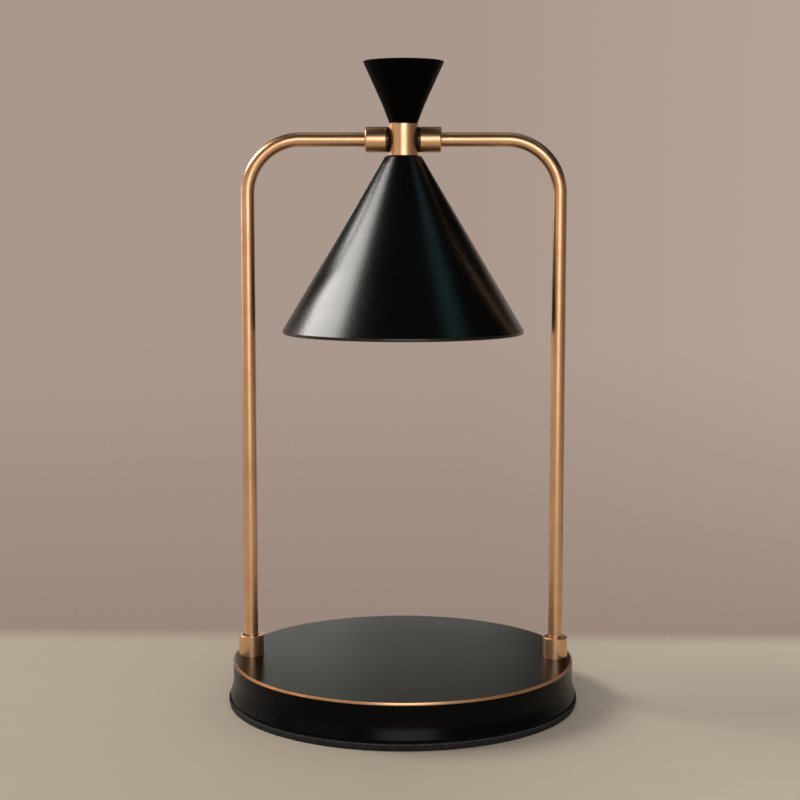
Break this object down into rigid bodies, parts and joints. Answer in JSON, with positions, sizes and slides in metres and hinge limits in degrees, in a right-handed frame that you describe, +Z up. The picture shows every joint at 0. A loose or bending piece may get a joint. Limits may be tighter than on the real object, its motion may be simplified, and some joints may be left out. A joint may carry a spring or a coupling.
{
  "type": "candle warmer lamp",
  "caption": "Candle warmer lamp: a black cone shade under a flared finial tilts between two bent brass legs on a round weighted base.",
  "frame": {"origin": "on the floor, under the middle of the round base", "axes": "+Z up, X through the two legs with the right leg at +X, -Y the front, +Y the rear with the cord inlet"},
  "size_m": [0.16, 0.16, 0.29],
  "materials": {
    "black_coat": "satin",
    "antique_brass": "satin",
    "foam_rubber": "matte",
    "cast_iron": "matte",
    "zinc_steel": "satin",
    "black_rubber": "matte",
    "terminal_plastic": "matte",
    "contact_brass": "satin",
    "black_nylon": "satin",
    "black_screw": "satin",
    "glazed_ceramic": "satin",
    "bulb_ceramic": "matte",
    "reflector_glass": "gloss",
    "clear_glass": "gloss",
    "lead_sheath": "satin"
  },
  "bodies": {
    "stand": {"base_shell": "black_coat", "edge_trim_ring": "antique_brass", "foot_pad": "foam_rubber", "base_cover": "black_coat", "cover_screws": "zinc_steel", "cover_standoffs": "zinc_steel", "ballast_plate": "cast_iron", "cord_grommet": "black_rubber", "terminal_block": "terminal_plastic", "clamp_sleeves": "contact_brass", "clamp_screws": "zinc_steel", "terminal_screw": "zinc_steel", "frame_tube_left": "antique_brass", "frame_tube_right": "antique_brass", "leg_ferrule_left": "antique_brass", "leg_ferrule_right": "antique_brass", "leg_washers": "zinc_steel", "leg_nuts": "zinc_steel", "hub_collar_left": "antique_brass", "hub_collar_right": "antique_brass", "frame_lead": "lead_sheath"},
    "head": {"hub_barrel": "antique_brass", "pivot_washer_left": "black_nylon", "pivot_washer_right": "black_nylon", "tilt_stop_screw": "black_screw", "finial_cup": "black_coat", "finial_washer": "zinc_steel", "finial_screw": "zinc_steel", "shade": "black_coat", "lamp_nipple": "zinc_steel", "lock_washer": "zinc_steel", "nipple_nuts": "zinc_steel", "holder_strap": "zinc_steel", "strap_screws": "zinc_steel", "lamp_holder": "glazed_ceramic", "holder_contacts": "contact_brass", "head_lead": "lead_sheath"},
    "bulb": {"bulb_base": "bulb_ceramic", "bulb_pins": "zinc_steel", "bulb_reflector": "reflector_glass", "bulb_front_glass": "clear_glass", "bulb_burner": "clear_glass"}
  },
  "joints": [
    {"name": "head_tilt", "type": "hinge", "parent": "stand", "child": "head", "pos_m": [0, 0, 0.2555], "axis": [1, 0, 0], "range_deg": [-45, 45]},
    {"name": "bulb_turn", "type": "hinge", "parent": "head", "child": "bulb", "pos_m": [0, 0, 0.2167], "axis": [0, 0, -1], "range_deg": [0, 25]}
  ]
}
